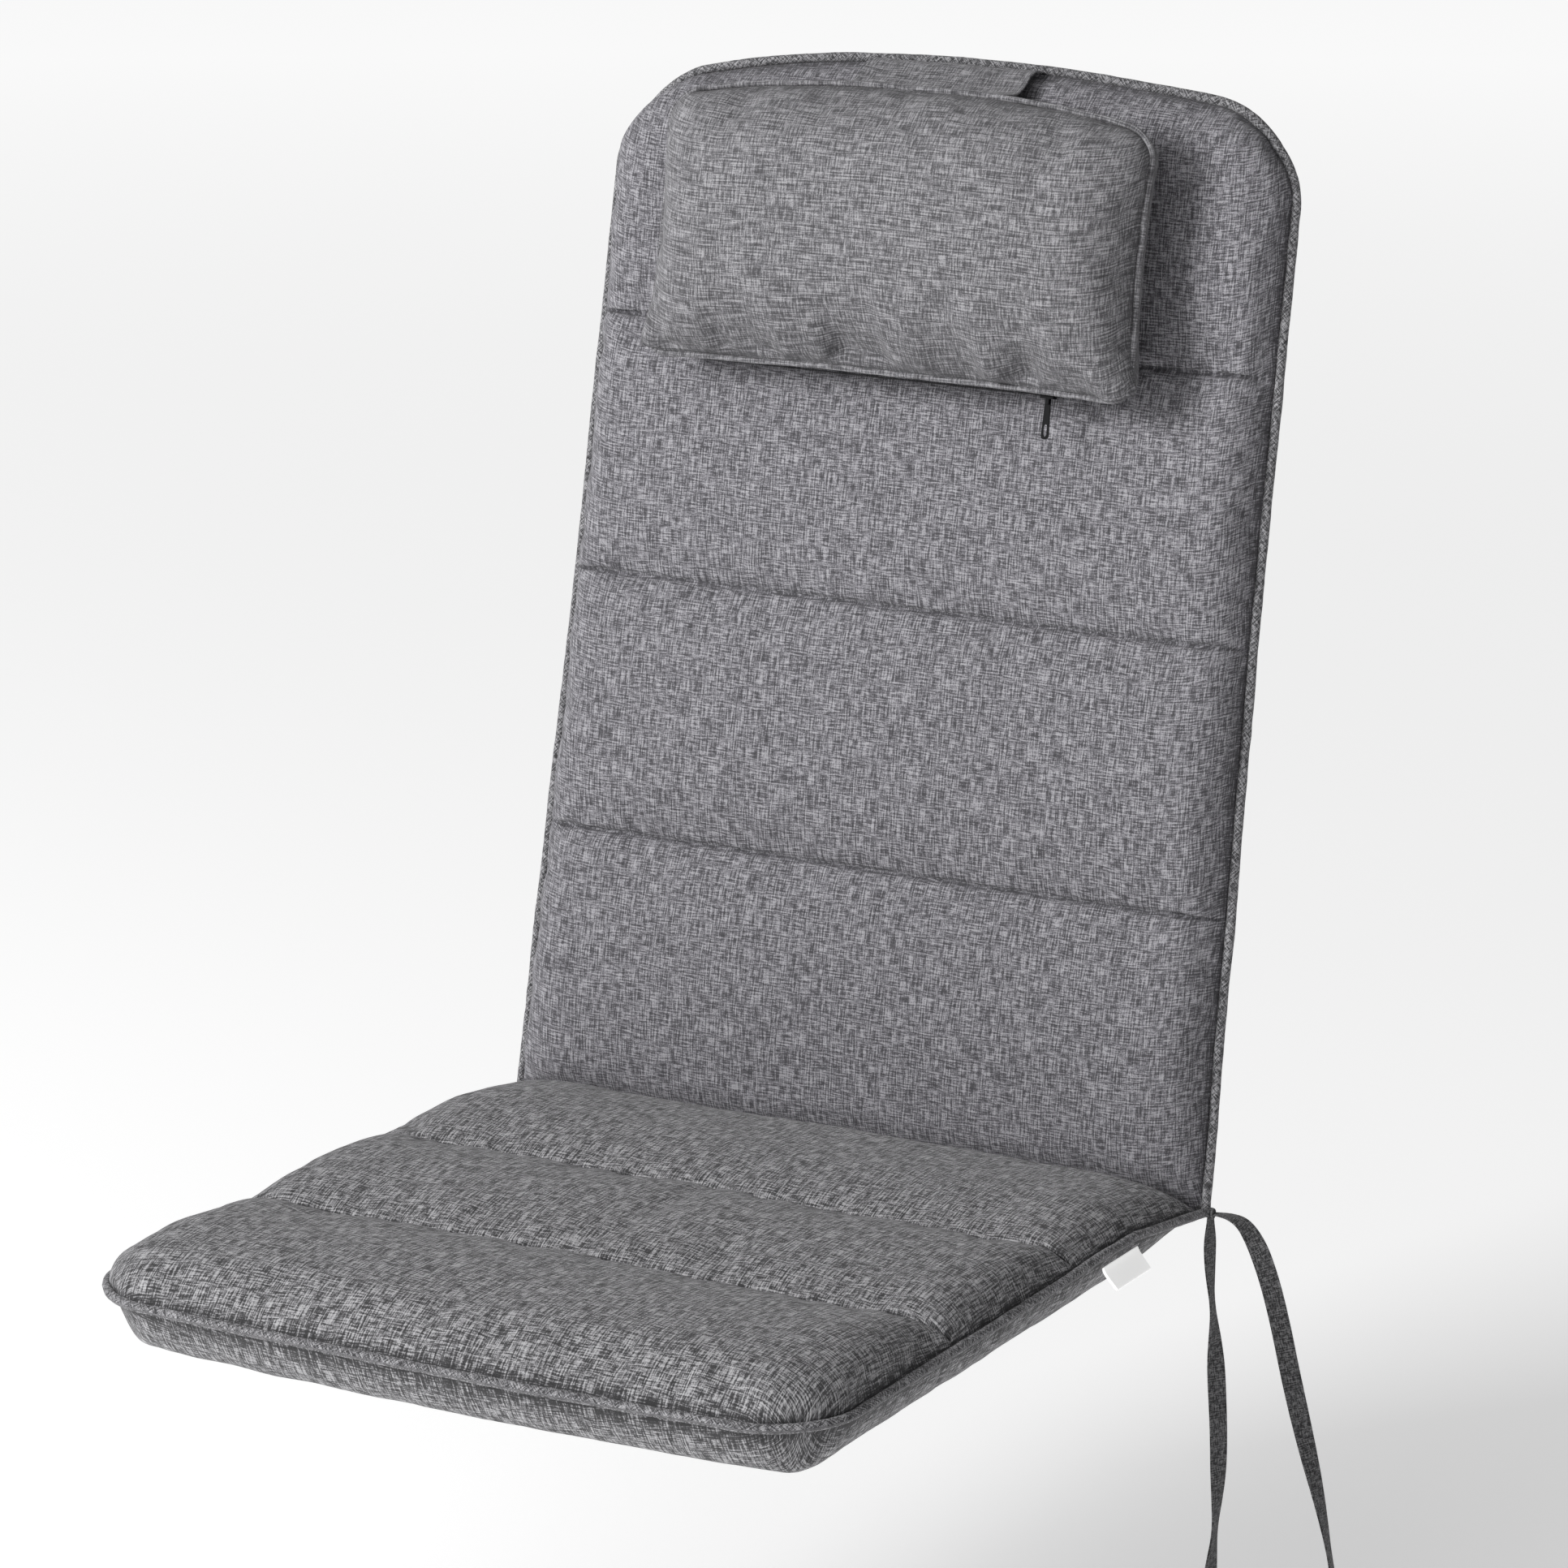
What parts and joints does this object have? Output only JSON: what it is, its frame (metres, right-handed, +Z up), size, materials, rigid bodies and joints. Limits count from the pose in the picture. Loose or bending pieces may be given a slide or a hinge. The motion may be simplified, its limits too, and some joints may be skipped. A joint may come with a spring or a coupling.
{
  "type": "chair seat pad",
  "caption": "High-back chair cushion: a padded seat and a padded back joined by a sewn fold, with a head pillow on a flap, a zip, piped edges and side ties.",
  "frame": {"origin": "middle of the seat pad's flat underside", "axes": "+Z up, -Y towards the front edge of the seat, +X to the right of somebody who faces the cushion"},
  "size_m": [0.6031, 0.6715, 0.9855],
  "materials": {
    "cover_fabric": "matt woven melange",
    "pillow_fabric": "matt woven melange, coarse cross streaks",
    "piping_fabric": "matt woven melange cut on the bias",
    "piping_filler": "twisted filler cord",
    "wadding": "polyester fibre wadding",
    "foam": "open-cell foam",
    "thread": "twisted sewing thread",
    "tie_fabric": "matt woven tape",
    "label_fabric": "smooth blank tag",
    "zip_tape": "woven zip tape",
    "zip_coil": "moulded coil",
    "zip_metal": "black enamel"
  },
  "bodies": {
    "seat": {"seat_top_panel": "cover_fabric", "seat_bottom_panel": "cover_fabric", "seat_wadding": "wadding", "seat_foam": "foam", "seat_quilting_rear": "thread", "seat_quilting_front": "thread", "seat_piping_sleeve": "piping_fabric", "seat_piping_cord": "piping_filler", "fold_seam": "cover_fabric", "seat_label": "label_fabric", "tie_tack": "tie_fabric", "tie_inner": "tie_fabric", "tie_outer": "tie_fabric"},
    "back": {"back_front_panel": "cover_fabric", "back_rear_panel": "cover_fabric", "back_wadding": "wadding", "back_foam": "foam", "back_quilting_low": "thread", "back_quilting_mid": "thread", "back_quilting_high": "thread", "back_piping_sleeve": "piping_fabric", "back_piping_cord": "piping_filler", "flap_stitches": "thread"},
    "flap": {"pillow_flap": "pillow_fabric"},
    "pillow": {"pillow_front_panel": "pillow_fabric", "pillow_rear_panel": "pillow_fabric", "pillow_filling": "wadding", "pillow_welt": "pillow_fabric", "zip_tape_front": "zip_tape", "zip_tape_rear": "zip_tape", "zip_coil_front": "zip_coil", "zip_coil_rear": "zip_coil", "zip_stop_left": "zip_metal", "zip_stop_right": "zip_metal"},
    "zip_slider": {"zip_slider": "zip_metal"},
    "zip_puller": {"zip_puller": "zip_metal"}
  },
  "joints": [
    {"name": "back_fold", "type": "hinge", "parent": "seat", "child": "back", "pos_m": [0, 0.255, 0.022], "axis": [1, 0, 0], "range_deg": [-78, 56]},
    {"name": "flap_swing", "type": "hinge", "parent": "back", "child": "flap", "pos_m": [0, 0.38954, 0.70386], "axis": [1, 0, 0], "range_deg": [-100, 0]},
    {"name": "pillow_tilt", "type": "hinge", "parent": "flap", "child": "pillow", "pos_m": [0, 0.32773, 0.69297], "axis": [1, 0, 0], "range_deg": [-145, 0]},
    {"name": "zip_slide", "type": "slide", "parent": "pillow", "child": "zip_slider", "axis": [1, 0, 0], "range_m": [-0.224, 0.008]},
    {"name": "puller_swing", "type": "hinge", "parent": "zip_slider", "child": "zip_puller", "pos_m": [0.112, 0.29875, 0.51293], "axis": [0, -0.9799, 0.1994], "range_deg": [-80, 80]}
  ]
}
